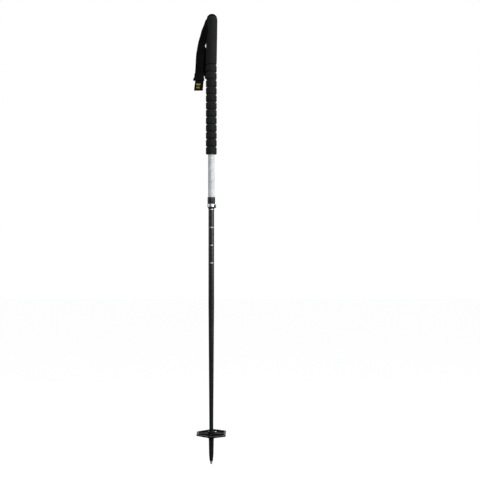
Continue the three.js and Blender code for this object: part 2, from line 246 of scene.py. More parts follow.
def make_world():
    """White for the camera. Everything else sees a dim room, darker below the horizon."""
    world = bpy.data.worlds.new("studio")
    bpy.context.scene.world = world
    world.use_nodes = True
    tree = world.node_tree
    tree.nodes.clear()
    path, direction, split, rise, dim, white, mix, out = [tree.nodes.new("ShaderNode" + kind) for kind in (
        "LightPath", "TexCoord", "SeparateXYZ", "MapRange", "Background", "Background", "MixShader",
        "OutputWorld")]
    set_range(rise, -0.5, 0.3, *ROOM_BRIGHTNESS)
    dim.inputs["Color"].default_value = (0.9, 0.95, 1, 1)
    white.inputs["Color"].default_value = (1, 1, 1, 1)
    white.inputs["Strength"].default_value = 1
    for source, target in (
            (direction.outputs["Generated"], split.inputs[0]), (split.outputs[2], rise.inputs["Value"]),
            (rise.outputs["Result"], dim.inputs["Strength"]), (dim.outputs[0], mix.inputs[1]),
            (white.outputs[0], mix.inputs[2]), (path.outputs["Is Camera Ray"], mix.inputs["Fac"]),
            (mix.outputs[0], out.inputs["Surface"])):
        tree.links.new(source, target)


def make_floor():
    """A plain white floor some way below the tip, so that no hard shadow touches the pole."""
    mesh = bpy.data.meshes.new("floor")
    corners = [(x * FLOOR_REACH, y * FLOOR_REACH, FLOOR_HEIGHT)
               for x, y in ((-1, -1), (1, -1), (1, 1), (-1, 1))]
    mesh.from_pydata(corners, [], [(0, 1, 2, 3)])
    floor = put("floor", mesh)
    paint = Finish("floor_white", Base_Color=grey(0.1), Roughness=0.9, Specular_IOR_Level=0.1,
                   Emission_Color=grey(1), Emission_Strength=0.96)
    mesh.materials.append(paint.material)
    floor.visible_diffuse = False
    floor.visible_glossy = False


make_camera()
make_world()
make_floor()
for light_name, light_values in LIGHTS.items():
    make_light(light_name, *light_values)
bpy.context.scene.view_settings.view_transform = "Standard"


# ---------------- materials

def foam_finish():
    """Fine-celled EVA: dull and slightly cloudy, with closed pores."""
    f = Finish("eva_foam", Roughness=0.82, Specular_IOR_Level=0.25, Sheen_Weight=0.03, Sheen_Roughness=0.6)
    cloud = f.noise(38, 5)
    grain = f.noise(2600, 2)
    tone = f.mix(f.span(cloud, 0.3, 0.7), grey(0.006, (1, 1.03, 1.03)), grey(0.0096, (1, 1.03, 1.02)))
    f.paint(f.mix(f.span(grain, 0.35, 0.7, 0, 0.35), tone, grey(0.017)))
    f.paint(f.span(cloud, 0.3, 0.7, 0.76, 0.88), "Roughness")
    f.bump(f.cells(1500), 0.12 * MM, 0.5)
    f.bump(grain, 0.08 * MM, 0.5)
    return f.material


def moulded_finish(name, level, roughness, grain=0.05, specular=0.5):
    """Injection-moulded black plastic with a spark-eroded grain. The grain's depth is in millimetres."""
    f = Finish(name, Roughness=roughness, Specular_IOR_Level=specular)
    speck = f.noise(3400, 3)
    f.paint(f.mix(f.cloud(60, 4), grey(level * 0.8), grey(level * 1.25)))
    f.paint(f.span(speck, 0.3, 0.7, roughness - 0.06, roughness + 0.1), "Roughness")
    f.bump(speck, grain * MM, 0.5)
    return f.material


def basket_finish(land):
    """Moulded plastic: smooth level lands above the height land, and rough pockets and walls. Its colour has
    painted light and shade: lands lighter, pockets darker, walls and undersides darkest.
    """
    f = Finish("basket_plastic")
    _, _, z = f.axes()
    facing = f.node("SeparateXYZ")
    f.feed(f.node("NewGeometry").outputs["Normal"], facing.inputs[0])
    level = f.span(facing.outputs[2], 0.45, 0.9, smooth=True)
    smooth = f.times(f.span(z, land - 0.4 * MM, land, smooth=True), level)
    cloud = f.cloud(60, 4)
    # painted shade: faces that don't point up are painted darker than those that do
    shaded_rough_tone = f.mix(level, grey(0.0012), f.mix(cloud, grey(0.0045), grey(0.0075)))
    # painted light: the level lands on top are painted lighter than the pockets below them
    f.paint(f.mix(smooth, shaded_rough_tone, f.mix(cloud, grey(0.01), grey(0.0135))))
    f.paint(f.mix(smooth, grey(0.7), grey(0.4)), "Roughness")
    f.paint(f.mix(smooth, grey(0.05), grey(0.55)), "Specular IOR Level")
    f.bump(f.noise(2600, 2), 0.02 * MM, 0.4)
    return f.material


def webbing_finish(name, level, rib=1.15, warp=0.85):
    """Woven webbing: ribs across the strap and a warp along it. UV is in millimetres."""
    f = Finish(name, Roughness=0.88, Specular_IOR_Level=0.15, Sheen_Weight=0.03, Sheen_Roughness=0.5)
    across, along, _ = f.axes("UV")
    ribs = f.stripes(along, rib)
    every_other_rib = f.math("GREATER_THAN", f.math("SINE", f.times(along, math.pi / rib)), 0)
    threads = f.stripes(f.math("ADD", across, f.times(every_other_rib, warp / 2)), warp)
    height = f.math("ADD", f.times(ribs, 0.6), f.times(threads, 0.4))
    fuzz = f.noise(2200, 3)
    # painted shade: the colour follows the weave's height, darker in the grooves between threads and lighter
    # on the crests, varied in random patches
    weave_shade_and_wear = f.times(height, f.span(f.noise(70, 4), 0.35, 0.65, 0.7, 1.1))
    f.paint(f.mix(f.span(weave_shade_and_wear, 0.15, 1), grey(level * 0.35), grey(level * 1.6)))
    f.bump(height, 0.22 * MM, 0.8)
    f.bump(fuzz, 0.1 * MM, 0.4)
    return f.material


def brushed_fabric_finish():
    """The soft face of the wrist band: a short pile with a faint knit under it."""
    f = Finish("brushed_fabric", Roughness=0.95, Specular_IOR_Level=0.1, Sheen_Weight=0.04,
               Sheen_Roughness=0.45, Sheen_Tint=grey(0.6))
    across, along, _ = f.axes("UV")
    knit = f.times(f.stripes(across, 0.7), f.stripes(along, 0.9))
    pile = f.noise(1900, 4)
    f.paint(f.mix(f.cloud(55, 5), grey(0.0015), grey(0.0032)))
    f.bump(knit, 0.12 * MM, 0.6)
    f.bump(pile, 0.15 * MM, 0.5)
    return f.material


def rubber_finish(name, level):
    """Matt black, a little cloudy, with a fine grain."""
    f = Finish(name, Roughness=0.75, Specular_IOR_Level=0.12)
    cloud = f.noise(90, 4)
    f.paint(f.mix(f.span(cloud, 0.3, 0.7), grey(level * 0.8), grey(level * 1.3)))
    f.paint(f.span(cloud, 0.3, 0.7, 0.68, 0.85), "Roughness")
    f.bump(f.noise(2800, 2), 0.05 * MM, 0.5)
    return f.material


def label_finish(low, high):
    """Plain yellow bars woven on black. Nothing is written on it."""
    f = Finish("woven_label", Roughness=0.8, Specular_IOR_Level=0.3)
    x, _, z = f.axes()
    height = f.span(z, low.z, high.z)
    middle = (low.x + high.x) / 2
    upper = f.times(f.band(height, 0.77, 0.16, 0.03), f.band(x, middle + 0.4 * MM, 5.8 * MM, 0.3 * MM))
    lower = f.times(f.band(height, 0.16, 0.14, 0.03), f.band(x, middle - 0.6 * MM, 4.4 * MM, 0.3 * MM))
    bars = f.most(upper, lower)
    thread = f.stripes(z, 0.7 * MM)
    # painted shade: the yellow follows the threads' height, darker in the grooves between them and lighter
    # on their crests
    yellow = f.mix(f.span(thread, 0, 1), (0.2, 0.165, 0.026), (0.36, 0.3, 0.06))
    f.paint(f.mix(bars, grey(0.006), yellow))
    f.bump(thread, 0.15 * MM, 0.7)
    f.bump(f.stripes(x, 0.5 * MM), 0.08 * MM, 0.5)
    return f.material


PRINT = {"field": 838, "bar": 822, "patches": 808, "teeth": 797, "lines": (783, 776)}   # heights
PRINT_STRENGTH = 0.32
PRINT_SLOPE = 0.75
TOOTH_PITCH = 7 * MM
TOOTH_HALF = 7                   # half a tooth's height


def round_tube(f):
    """A tube's angle from its front, in radians, and height above the tip's end, for every point."""
    x, y, z = f.axes()
    return f.math("ARCTAN2", x, f.times(y, -1)), f.math("SUBTRACT", z, TIP_END)


def white_tube_finish():
    """Satin powder coat with a faint, plain geometric print in a slightly darker grey."""
    f = Finish("white_tube", Roughness=0.36, Specular_IOR_Level=0.5)
    turn, height = round_tube(f)
    across = f.times(turn, extent("upper_tube")[2])
    slope = f.math("SUBTRACT", height, f.times(across, PRINT_SLOPE))
    field = f.span(slope, PRINT["field"] * MM, (PRINT["field"] + 1) * MM, 0, 0.5)
    bar = f.times(f.band(slope, PRINT["bar"] * MM, 2.4 * MM, 2 * MM), 0.7)
    place = f.math("FRACT", f.math("DIVIDE", across, TOOTH_PITCH))
    tooth = f.math("ABSOLUTE", f.math("SUBTRACT", place, 0.5))
    rise = f.span(height, (PRINT["teeth"] - TOOTH_HALF) * MM, (PRINT["teeth"] + TOOTH_HALF) * MM, 0.5, 0)
    teeth = f.times(f.math("LESS_THAN", tooth, rise),
                    f.band(height, PRINT["teeth"] * MM, TOOTH_HALF * MM, 0.1 * MM))
    lines = [f.band(height, line * MM, 0.7 * MM, 0.2 * MM) for line in PRINT["lines"]]
    patches = f.times(f.band(height, PRINT["patches"] * MM, 24 * MM, 5 * MM),
                      f.span(f.noise(330, 1), 0.52, 0.58, 0, 0.6))
    printed = f.most(field, bar, teeth, *lines, patches)
    coat = f.mix(f.cloud(24, 4), (0.81, 0.825, 0.825), (0.85, 0.865, 0.86))
    f.paint(f.mix(f.times(printed, PRINT_STRENGTH), coat, (0.38, 0.395, 0.395)))
    f.paint(f.span(f.noise(140, 3), 0.3, 0.7, 0.32, 0.42), "Roughness")
    f.bump(f.noise(2400, 2), 0.02 * MM, 0.4)
    return f.material


MARKS = {"lowest": 565, "highest": 865, "pitch": 50}
# A mark's broad middle and its thin ends: where it is, how far it reaches and how softly it ends round the
# tube, in radians, then half its thickness and how softly that ends, in millimetres.
MARK_DASH = (0.3, 0.36, 0.03, 1.15, 0.15)
MARK_ENDS = (0.25, 0.8, 0.05, 0.35, 0.1)


def black_tube_finish():
    """Satin black anodising, rubbed a little along the tube, with white length marks."""
    f = Finish("black_tube", Roughness=0.34, Specular_IOR_Level=0.5)
    turn, height = round_tube(f)
    step = f.math("DIVIDE", f.math("SUBTRACT", height, MARKS["lowest"] * MM), MARKS["pitch"] * MM)
    near = f.math("ABSOLUTE", f.math("SUBTRACT", step, f.math("ROUND", step)))
    middle = (MARKS["lowest"] + MARKS["highest"]) / 2 * MM
    scale = f.band(height, middle, middle - (MARKS["lowest"] - 5) * MM, 1 * MM)
    dash, ring = [
        f.times(f.band(turn, middle_turn, half_turn, soft_turn),
                f.span(near, thick / MARKS["pitch"], (thick + soft) / MARKS["pitch"], 1, 0))
        for middle_turn, half_turn, soft_turn, thick, soft in (MARK_DASH, MARK_ENDS)]
    marks = f.times(f.most(dash, ring), scale)
    rubbed = f.noise(30, 5, stretch=(6, 6, 0.35))
    coat = f.mix(f.span(rubbed, 0.3, 0.75), grey(0.0085), grey(0.014, (1, 1.01, 1.02)))
    f.paint(f.mix(marks, coat, (0.78, 0.79, 0.79)))
    f.paint(f.span(rubbed, 0.3, 0.75, 0.29, 0.4), "Roughness")
    f.bump(f.noise(1800, 2, stretch=(1, 1, 0.08)), 0.015 * MM, 0.35)
    return f.material


def metal_finish(name, colour, roughness, lines=None, metallic=1.0):
    """Bare metal; lines is the direction that its polishing marks are squeezed in."""
    f = Finish(name, Metallic=metallic, Roughness=roughness)
    fine = f.noise(1300, 3, stretch=lines or (1, 1, 1))
    f.paint(f.mix(f.cloud(160, 4), tuple(part * 0.9 for part in colour), colour))
    f.paint(f.span(fine, 0.3, 0.7, roughness * 0.75, roughness * 1.35), "Roughness")
    f.bump(fine, 0.012 * MM, 0.4)
    return f.material


FOAM = foam_finish()
CAP_PLASTIC = moulded_finish("cap_plastic", 0.0008, 0.55, 0.05, 0.06)
HEAD_PLASTIC = moulded_finish("head_plastic", 0.01, 0.55)
LOCK_PLASTIC = moulded_finish("lock_plastic", 0.009, 0.31, 0.03)
BASKET_PLASTIC = basket_finish(up(86.4))
FERRULE_PLASTIC = moulded_finish("ferrule_plastic", 0.008, 0.36)
WEBBING = webbing_finish("webbing", 0.0022)
TAB_WEBBING = webbing_finish("tab_webbing", 0.0026, 0.9, 0.7)
PADDING = brushed_fabric_finish()
STRAP_RUBBER = rubber_finish("strap_rubber", 0.002)
THREAD = rubber_finish("stitch_thread", 0.008)
LABEL = label_finish(*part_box("strap_label"))
WHITE_TUBE = white_tube_finish()
BLACK_TUBE = black_tube_finish()
POLISHED = metal_finish("polished_alloy", (0.7, 0.71, 0.72), 0.27, (1, 1, 9))
STEEL = metal_finish("turned_steel", (0.86, 0.86, 0.87), 0.5, (1, 1, 12), 0.6)
BLACK_STEEL = metal_finish("black_oxide", (0.006, 0.006, 0.0065), 0.5)
CARBIDE = metal_finish("carbide", (0.05, 0.05, 0.055), 0.4)


# ---------------- mesh helpers

def add_mesh(name, corners, faces, material):
    mesh = bpy.data.meshes.new(name)
    mesh.from_pydata([tuple(corner) for corner in corners], [], faces)
    mesh.validate()
    mesh.materials.append(material)
    return put(name, mesh)


def tidy(made):
    """Merges doubles, turns the faces outward and shades smoothly across all but sharp edges."""
    shape = bmesh.new()
    shape.from_mesh(made.data)
    bmesh.ops.remove_doubles(shape, verts=shape.verts, dist=1e-7)
    bmesh.ops.dissolve_degenerate(shape, edges=shape.edges, dist=1e-8)
    bmesh.ops.recalc_face_normals(shape, faces=shape.faces)
    shape.to_mesh(made.data)
    shape.free()
    made.data.shade_smooth()
    made.data.set_sharp_from_angle(angle=math.radians(38))
    return made


def filleted(corners, steps=4):
    """The points of a closed outline of (a, b, fillet radius) corners, in the same units."""
    points = []
    count = len(corners)
    for i, (a, b, radius) in enumerate(corners):
        here = Vector((a, b))
        before = Vector(corners[i - 1][:2]) - here
        after = Vector(corners[(i + 1) % count][:2]) - here
        if radius <= 0 or before.length < 1e-9 or after.length < 1e-9:
            points.append(here)
            continue
        angle = before.angle(after)
        if angle > math.pi - 0.02:
            points.append(here)
            continue
        reach = min(radius / math.tan(angle / 2), before.length * 0.49, after.length * 0.49)
        start = here + before.normalized() * reach
        end = here + after.normalized() * reach
        for k in range(steps + 1):
            t = k / steps
            points.append(start * (1 - t) ** 2 + here * 2 * t * (1 - t) + end * t * t)
    return points


def smooth_path(points, steps):
    """Catmull-Rom through rows of numbers, all columns alike."""
    path = []
    last = len(points) - 1
    for i in range(last):
        before, here = points[max(i - 1, 0)], points[i]
        after, beyond = points[i + 1], points[min(i + 2, last)]
        for k in range(steps):
            t = k / steps
            path.append([0.5 * (2 * b + (c - a) * t + (2 * a - 5 * b + 4 * c - d) * t * t
                                + (3 * b - a - 3 * c + d) * t ** 3)
                         for a, b, c, d in zip(before, here, after, beyond)])
    path.append(list(points[last]))
    return path


def turned(name, corners, material, sides=96, steps=4):
    """Turns an outline of (radius, height, fillet) corners, in metres, round the pole's axis."""
    outline = filleted(corners, steps)
    rings, points = [], []
    for radius, height in outline:
        if radius < 1e-7:
            rings.append([len(points)])
            points.append((0, 0, height))
            continue
        rings.append(list(range(len(points), len(points) + sides)))
        points += [(radius * math.cos(TAU * k / sides), radius * math.sin(TAU * k / sides), height)
                   for k in range(sides)]
    faces = []
    open_line = len(rings[0]) == 1 and len(rings[-1]) == 1
    for one, two in zip(rings, rings[1:] if open_line else rings[1:] + rings[:1]):
        for k in range(sides):
            j = (k + 1) % sides
            face = [one[k % len(one)], one[j % len(one)], two[j % len(two)], two[k % len(two)]]
            faces.append(list(dict.fromkeys(face)))
    return tidy(add_mesh(name, points, [face for face in faces if len(face) > 2], material))


def skin(loops, count):
    """The faces between a number of closed loops of count points, with the first and the last one closed."""
    faces = [list(range(count))[::-1], list(range((loops - 1) * count, loops * count))]
    for start in range(0, (loops - 1) * count, count):
        for k in range(count):
            j = (k + 1) % count
            faces.append((start + k, start + j, start + count + j, start + count + k))
    return faces


def loft(name, loops, material):
    """Joins closed loops of as many points each, and closes the first and the last one."""
    points = [point for loop in loops for point in loop]
    return tidy(add_mesh(name, points, skin(len(loops), len(loops[0])), material))


def prism(name, outline, bottom, top, material):
    """A flat outline of (x, y) points, pulled up from bottom to top."""
    return loft(name, [[(x, y, z) for x, y in outline] for z in (bottom, top)], material)


def arc(centre, radius, start, end, steps=12):
    """Points on an arc, with its angles in degrees."""
    angles = [math.radians(start + (end - start) * k / steps) for k in range(steps + 1)]
    return [(centre[0] + radius * math.cos(angle), centre[1] + radius * math.sin(angle)) for angle in angles]


def turn_to(made, matrix):
    """Moves and turns the mesh itself."""
    made.data.transform(matrix)
    made.data.update()
    return made


def rod(name, radius, bottom, top, material, sides=96):
    """A rod on the pole's axis, for cutting or for turning elsewhere."""
    outline = [(0, bottom, 0), (radius, bottom, 0), (radius, top, 0), (0, top, 0)]
    return turned(name, outline, material, sides)


def laid_on_y(made, x, z):
    """Lays a piece from the pole's axis along Y through (x, z)."""
    return turn_to(made, Matrix.Translation((x, 0, z)) @ Matrix.Rotation(-math.pi / 2, 4, "X"))


def cross_rod(name, radius, x, z, front, back, material, sides=48):
    """A rod along Y through (x, z)."""
    return laid_on_y(rod(name, radius, front, back, material, sides), x, z)


def apply_modifiers(made):
    """Makes what the modifiers show the mesh itself."""
    graph = bpy.context.evaluated_depsgraph_get()
    mesh = bpy.data.meshes.new_from_object(made.evaluated_get(graph))
    made.modifiers.clear()
    old = made.data
    made.data = mesh
    bpy.data.meshes.remove(old)
    return made


def combine(made, operation, *others):
    """Joins or cuts with other meshes, which are used up."""
    for other in others:
        boolean = made.modifiers.new("boolean", "BOOLEAN")
        boolean.operation = operation
        boolean.solver = "EXACT"
        boolean.object = other
        bpy.context.view_layer.update()
        apply_modifiers(made)
        bpy.data.objects.remove(other)
    return made


def soften(made, width, segments=2, angle=32):
    """Rounds the edges that turn more than angle."""
    bevel = made.modifiers.new("bevel", "BEVEL")
    bevel.width = width
    bevel.segments = segments
    bevel.limit_method = "ANGLE"
    bevel.angle_limit = math.radians(angle)
    apply_modifiers(made)
    return tidy(made)


def lean(made):
    """Leans a piece of the grip forward, more the higher it is."""
    slope = GRIP_LEAN / (GRIP_TOP - FOAM_SPLIT)
    for vertex in made.data.vertices:
        vertex.co.x += slope * (vertex.co.z - FOAM_SPLIT)
    return made


def block(name, low, high, material):
    """A box between two corners, for joining to or cutting from another piece."""
    (x0, y0, z0), (x1, y1, z1) = low, high
    return prism(name, [(x0, y0), (x1, y0), (x1, y1), (x0, y1)], z0, z1, material)


def stitched(name, stitches, radius, material, sides=6):
    """One mesh of thread stitches, each a rounded run from its first point to its second."""
    points, faces = [], []
    for start, end in stitches:
        along = (end - start).normalized()
        side = along.orthogonal().normalized()
        up_side = along.cross(side)
        first = len(points)
        points.append(start - along * radius)
        for share, size in ((0, 0.75), (0.5, 1), (1, 0.75)):
            for k in range(sides):
                angle = TAU * k / sides
                points.append(start.lerp(end, share)
                              + (side * math.cos(angle) + up_side * math.sin(angle)) * radius * size)
        points.append(end + along * radius)
        last = len(points) - 1
        for k in range(sides):
            j = (k + 1) % sides
            faces.append((first, first + 1 + j, first + 1 + k))
            for ring in (0, 1):
                base = first + 1 + ring * sides
                faces.append((base + k, base + j, base + sides + j, base + sides + k))
            base = first + 1 + 2 * sides
            faces.append((base + k, base + j, last))
    return tidy(add_mesh(name, points, faces, material))


def stands_for(made, node, body):
    """Puts a detailed piece on a body in place of a CAD node, and hides the node."""
    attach(made, body)
    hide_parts(node)
    return made


# ---------------- grip

def make_ribbed_foam():
    low, high, radius = extent("grip_foam_lower")
    radius += FOAM_SWELL
    bore = extent("upper_tube")[2] + 0.1 * MM
    notch_top, pitch, depth, half = up(1120.6), 20.85 * MM, 2.7 * MM, 3 * MM
    corners = [(bore, low, 0), (radius, low, 3.4 * MM)]
    steps = 5
    for notch in range(11, -1, -1):
        middle = notch_top - notch * pitch
        corners += [(radius - depth * (1 + math.cos(math.pi * k / steps)) / 2, middle + half * k / steps, 0)
                    for k in range(-steps, steps + 1)]
    corners += [(radius, high, 0.7 * MM), (bore, high, 0)]
    foam = turned("ribbed_foam", corners, FOAM, 128)
    stands_for(foam, "grip_foam_lower", "upper_section")


CAP_SEAM = up(1255.6)


def make_smooth_foam():
    low, _, radius = extent("grip_foam_upper")
    radius += FOAM_SWELL
    bore = extent("upper_tube")[2] + 0.1 * MM
    core = extent("grip_head")[2] + 0.1 * MM
    head = extent("grip_head")[0] - 0.2 * MM
    shoulder = smooth_path([(radius, up(1238)), (radius, up(1246)), (radius - 0.5 * MM, up(1250.5)),
                            (radius - 1.5 * MM, up(1254.4)), (radius - 2.1 * MM, CAP_SEAM)], 4)
    foam = lean(turned("smooth_foam", [
        (bore + 1.6 * MM, low, 0), (radius - 0.15 * MM, low, 0.7 * MM), (radius, up(1200), 8 * MM),
        *[(*point, 0) for point in shoulder],
        (core, CAP_SEAM, 0), (core, head, 0), (bore + 1.6 * MM, head, 0)], FOAM, 128))
    slot_low, slot_high = up(1240.8), up(1249.6)
    width = 9 * MM
    mouth = filleted([(-width, slot_low, 3 * MM), (width, slot_low, 3 * MM),
                      (width, slot_high, 3 * MM), (-width, slot_high, 3 * MM)], 5)
    cutter = prism("mouth", mouth, -20 * MM, -6 * MM, FOAM)
    turn_to(cutter, Matrix(((0, 0, 1, 0), (1, 0, 0, 0), (0, 1, 0, 0), (0, 0, 0, 1))))
    combine(foam, "DIFFERENCE", cutter)
    soften(foam, 0.5 * MM, 3)
    stands_for(foam, "grip_foam_upper", "upper_section")


def make_cap():
    low, top, radius = extent("grip_top_cap")
    bottom = CAP_SEAM + 0.1 * MM
    dome = smooth_path([(radius - 0.2 * MM, bottom), (radius - 0.1 * MM, bottom + 0.7 * MM),
                        (radius - 0.9 * MM, up(1258)), (radius - 2.9 * MM, up(1260.3)),
                        (radius - 5 * MM, top - 0.9 * MM), (7.4 * MM, top)], 5)
    cap = lean(turned("grip_cap", [
        (0, low, 0), (3.7 * MM, low, 0), (3.7 * MM, bottom, 0), *[(*point, 0) for point in dome],
        (6.9 * MM, top - 0.35 * MM, 0.2 * MM), (6.2 * MM, top - 0.35 * MM, 0.2 * MM),
        (5.9 * MM, top, 0.3 * MM), (0, top, 0)], CAP_PLASTIC))
    stands_for(cap, "grip_top_cap", "upper_section")


make_ribbed_foam()
make_smooth_foam()
make_cap()


# ---------------- strap

def strap_frames(stations, steps):
    """Along stations (x, y, height, half width, turn in degrees): where the strap's middle is, the ways
    along, across and through it, its half width and how far along it that is, in metres."""
    path = smooth_path(stations, steps)
    centres = [Vector((x * MM, y * MM, up(z))) for x, y, z, _, _ in path]
    last = len(path) - 1
    frames = []
    travelled = 0
    for i, (_, _, _, half, turn) in enumerate(path):
        if i:
            travelled += (centres[i] - centres[i - 1]).length
        along = (centres[min(i + 1, last)] - centres[max(i - 1, 0)]).normalized()
        angle = math.radians(turn)
        across = Vector((-math.sin(angle), math.cos(angle), 0))
        through = along.cross(across).normalized()
        frames.append((centres[i], along, across, through, half * MM, travelled))
    return frames


def ribbon(name, frames, section, material, around=28, lead=0.0):
    """A flat strap along frames. section(side) gives half its thickness, in metres, at a share across
    it from -1 to 1. It thins out over lead at its start. Its UV is in millimetres, across and along."""
    points, marks = [], []
    for here, _, across, through, half, travelled in frames:
        thin = min(1, 0.3 + 0.7 * travelled / lead) if lead else 1
        for k in range(around):
            side = math.cos(TAU * k / around)
            face = math.sin(TAU * k / around)
            side = math.copysign(abs(side) ** 0.55, side)
            face = math.copysign(abs(face) ** 0.45, face)
            points.append(here + across * side * half + through * section(side) * face * thin)
            marks.append((side * half / MM, travelled / MM))
    made = add_mesh(name, points, skin(len(frames), around), material)
    layer = made.data.uv_layers.new(name="UVMap")
    for loop in made.data.loops:
        layer.data[loop.index].uv = marks[loop.vertex_index]
    return tidy(made)


BAND_STATIONS = [
    (-16.4, 0, 1244.6, 8, 0), (-17.8, -0.6, 1239, 8.5, 6), (-19, -1.6, 1233.6, 9.6, 16),
    (-20, -3.2, 1225, 10.8, 29), (-20.5, -4.3, 1219.5, 11.3, 37), (-21.9, -5.2, 1205.5, 11.1, 52),
    (-24.8, -6, 1191, 10.6, 68), (-27.5, -6.8, 1177, 10.4, 80), (-29.7, -7.4, 1163, 10.4, 86),
    (-31.8, -7.6, 1149, 10.4, 90), (-32.6, -7.3, 1135, 10.6, 90), (-33.6, -5.6, 1113, 10.8, 90),
    (-34.9, -3.2, 1094, 11, 90)]
WEBBING_STATIONS = [
    (-14.7, 1.5, 1244, 8, 0), (-15, 5, 1232, 8, -10), (-15.6, 6.4, 1219, 8, -12),
    (-16.3, 7.4, 1205, 8, -18), (-17, 8, 1191, 8, -22), (-18, 8, 1184, 8, -10),
    (-18.8, 8, 1178, 8, -2), (-18.4, 8.6, 1171, 8, -26), (-18.1, 9, 1160, 8, -36),
    (-19, 9.5, 1135, 8, -50), (-19.6, 9.2, 1110, 8, -54), (-18.8, 10.4, 1099, 8, -38),
    (-16.4, 9.6, 1091, 7.4, -20), (-16.2, 7.4, 1084, 7, -14)]
UPPER_STRAND = [
    (-9, 0, 1248.1, 8, 0), (-11.6, 0, 1247.6, 8, 0), (-13.6, 0, 1246.4, 8, 0), (-15.1, 0, 1243.6, 8, 0),
    (-15.9, 0.4, 1240, 8, 0), (-16.5, 1.2, 1234, 8, 2), (-17, 1.8, 1227, 7.6, 6)]
LOWER_STRAND = [
    (-9, 0, 1243.6, 8, 0), (-11.8, 0, 1244, 8, 0), (-13.9, 0.3, 1242.8, 8, 0), (-14.5, 1.4, 1239.2, 8, -3),
    (-14.7, 3.2, 1233.5, 8, -8)]

SEAM_AT = 0.84                   # where the band's binding is sewn down, as a share of its half width
STITCH_PITCH = 3.2 * MM
STITCH_RUN = 2.1 * MM


def padded_section(side):
    """A bound edge, a sewn groove beside it, and a crowned middle."""
    edge = abs(side)
    if edge > 0.9:
        return 1.1 * MM
    groove = max(0, 1 - abs(edge - SEAM_AT) / 0.07)
    return (1.3 - 0.3 * edge ** 4 - 0.5 * groove) * MM


def flat_section(side):
    """Flat webbing with a slightly thicker selvedge."""
    return (0.8 + 0.12 * max(0, abs(side) - 0.9) / 0.1) * MM


def mouth_section(_):
    """The strap's layers together, equally thick all across."""
    return 1.35 * MM


def swell(made, held, cap):
    """Lets a padded piece fill out by cloth simulation, with no point moving further than cap."""
    before = [vertex.co.copy() for vertex in made.data.vertices]
    group = made.vertex_groups.new(name="held")
    group.add(held, 1, "REPLACE")
    cloth = made.modifiers.new("cloth", "CLOTH")
    cloth.settings.quality = 6
    cloth.settings.mass = 0.2
    cloth.settings.vertex_group_mass = "held"
    cloth.settings.use_pressure = True
    cloth.settings.uniform_pressure_force = 4
    cloth.settings.effector_weights.gravity = 0
    cloth.point_cache.frame_start = 1
    cloth.point_cache.frame_end = 20
    for number in range(1, 21):
        bpy.context.scene.frame_set(number)
    apply_modifiers(made)
    bpy.context.scene.frame_set(1)
    for vertex, old in zip(made.data.vertices, before):
        move = vertex.co - old
        if move.length > cap:
            vertex.co = old + move.normalized() * cap
    made.vertex_groups.clear()
    return tidy(made)


def make_wrist_band():
    frames = strap_frames(BAND_STATIONS, 8)
    around = 28
    band = ribbon("wrist_band", frames, padded_section, PADDING, around, 7 * MM)
    bound = [k for k in range(around) if abs(math.cos(TAU * k / around)) ** 0.55 > SEAM_AT - 0.05]
    last = len(frames) - 1
    held = [i * around + k for i in range(len(frames)) for k in (range(around) if i in (0, last) else bound)]
    swell(band, held, 0.4 * MM)
    stands_for(band, "strap_wrist_band", "strap")
    seam = []
    depth = padded_section(SEAM_AT) + 0.05 * MM
    next_stitch = 4 * MM
    for here, along, across, through, half, travelled in frames[:-1]:
        if travelled < next_stitch:
            continue
        next_stitch += STITCH_PITCH
        for side in (-SEAM_AT, SEAM_AT):
            for face in (-1, 1):
                middle = here + across * side * half + through * depth * face
                seam.append((middle - along * STITCH_RUN / 2, middle + along * STITCH_RUN / 2))
    stitching = stitched("band_stitching", seam, 0.2 * MM, THREAD)
    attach(stitching, "strap")


def make_webbing():
    webbing = ribbon("strap_webbing_fine", strap_frames(WEBBING_STATIONS, 6), flat_section, WEBBING)
    stands_for(webbing, "strap_webbing", "strap")
    for name, stations in (("strap_mouth_upper", UPPER_STRAND), ("strap_mouth_lower", LOWER_STRAND)):
        strand = ribbon(name, strap_frames(stations, 6), mouth_section, WEBBING)
        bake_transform(strand)


SLAB_SIDES = 48
ROUNDED, CRISP = 0.36, 0.16      # how square a slab's section is: the smaller, the squarer


def round_rectangle(left, right, front, back, height, squareness):
    """A level, well rounded rectangle of points."""
    middle = Vector(((left + right) / 2, (front + back) / 2, height))
    wide, deep = (right - left) / 2, (back - front) / 2
    loop = []
    for k in range(SLAB_SIDES):
        angle = TAU * k / SLAB_SIDES
        x, y = math.cos(angle), math.sin(angle)
        loop.append(middle + Vector((math.copysign(abs(x) ** squareness, x) * wide,
                                     math.copysign(abs(y) ** squareness, y) * deep, 0)))
    return loop


def slanted(name, sections, material, squareness=ROUNDED):
    """A soft-edged slab through level sections (height, left, right, front, back), in millimetres."""
    return loft(name, [
        round_rectangle(left * MM, right * MM, front * MM, back * MM, up(height), squareness)
        for height, left, right, front, back in smooth_path(sections, 4)], material)


def make_keeper():
    """A rubber loop that the strap ends pass through: a pinched waist between two rolled lips."""
    keeper = slanted("strap_keeper_loop", [
        (1076.9, -50.2, -20, -4.6, 1.4), (1077.6, -50.9, -19.4, -5.6, 2.1), (1079.6, -51, -19.3, -5.8, 2.4),
        (1083.2, -49.9, -19.8, -5, 2), (1084.6, -48.9, -20.2, -4.3, 1.8), (1086, -48.2, -20.4, -4.6, 1.9),
        (1090.5, -47.5, -19.8, -5.4, 2.2), (1094.9, -47.1, -19.3, -6, 2.4), (1096.6, -47.1, -19.5, -5.6, 2),
        (1097.4, -46.8, -20.4, -4.8, 1.2)], STRAP_RUBBER)
    stands_for(keeper, "strap_keeper", "strap")


TAB = {"low": 1049, "high": 1078.6, "front": -3.3, "back": -1}
TAB_SEAM = {"inset": 2.6, "pitch": 2.6, "run": 1.7, "proud": 0.12}


def tab_sides(height):
    """The tab's left and right edges, in millimetres, at a height."""
    share = (height - TAB["low"]) / (TAB["high"] - TAB["low"])
    return -48.7 + 3.8 * share, -23.6 + 2.4 * share


